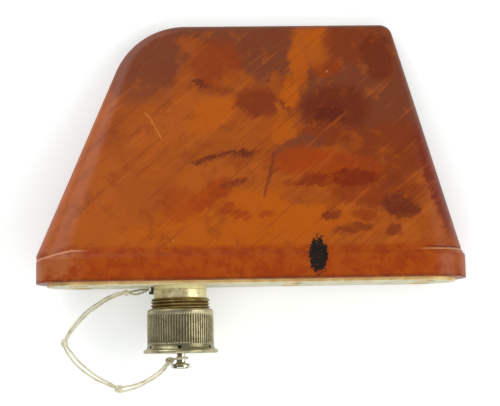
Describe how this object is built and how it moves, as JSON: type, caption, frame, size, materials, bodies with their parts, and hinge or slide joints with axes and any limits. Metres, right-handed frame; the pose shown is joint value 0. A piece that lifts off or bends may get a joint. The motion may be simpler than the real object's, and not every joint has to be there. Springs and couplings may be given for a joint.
{
  "type": "blade antenna",
  "caption": "Hollow painted fibreglass blade antenna on a metal base plate, with a threaded coaxial connector and a screw-on dust cap kept by a knotted cord.",
  "frame": {"origin": "centre of the base plate's underside, the face that is fastened down", "axes": "+Z from the mounting face to the blade's tip, +X towards the trailing edge, +Y across the blade"},
  "size_m": [0.1308, 0.026, 0.113],
  "materials": {
    "orange_paint": "gloss",
    "foam": "matte",
    "copper": "satin",
    "brass": "satin",
    "steel": "satin",
    "plate_metal": "worn",
    "rubber": "matte",
    "neck_metal": "satin",
    "insulator": "matte",
    "nickel": "satin",
    "post_steel": "bright",
    "dark_steel": "dull",
    "cord": "waxed"
  },
  "bodies": {
    "antenna": {"radome_shell": "orange_paint", "foam_core_front": "foam", "foam_core_rear": "foam", "radiator_plate": "copper", "feed_block": "brass", "feed_rivet_1": "brass", "feed_rivet_2": "brass", "ground_strap": "brass", "ground_rivet": "brass", "connector_nut": "brass", "centre_contact": "brass", "ground_screw": "steel", "lock_washer": "steel", "base_plate": "plate_metal", "base_gasket": "rubber", "neck_seal": "rubber", "socket_seal": "rubber", "plate_screw_1": "steel", "plate_insert_1": "brass", "plate_screw_2": "steel", "plate_insert_2": "brass", "plate_screw_3": "steel", "plate_insert_3": "brass", "plate_screw_4": "steel", "plate_insert_4": "brass", "plate_screw_5": "steel", "plate_insert_5": "brass", "plate_screw_6": "steel", "plate_insert_6": "brass", "connector_body": "neck_metal", "connector_insulator": "insulator", "tether_anchor": "dark_steel", "lanyard_anchor_a_left": "cord", "lanyard_anchor_a_right": "cord", "lanyard_a_b_left": "cord", "lanyard_a_b_right": "cord", "lanyard_b_c_left": "cord", "lanyard_b_c_right": "cord", "knot_a": "cord", "knot_b": "cord", "knot_c": "cord"},
    "cap_post": {"cap_post": "post_steel", "lanyard_c_d_left": "cord", "lanyard_c_d_right": "cord", "lanyard_loop": "cord", "knot_d": "cord"},
    "cap": {"cap_shell": "nickel", "cap_seal": "rubber"}
  },
  "joints": [
    {"name": "cap_travel", "type": "slide", "parent": "antenna", "child": "cap_post", "axis": [0, 0, -1], "range_m": [0, 0.009]},
    {"name": "cap_unscrew", "type": "hinge", "parent": "cap_post", "child": "cap", "pos_m": [-0.0219, 0, -0.0137], "axis": [0, 0, -1], "range_deg": [0, 3240]}
  ],
  "couplings": [
    {"joint": "cap_unscrew", "follows": "cap_travel", "rad_per_m": 6283.2}
  ]
}
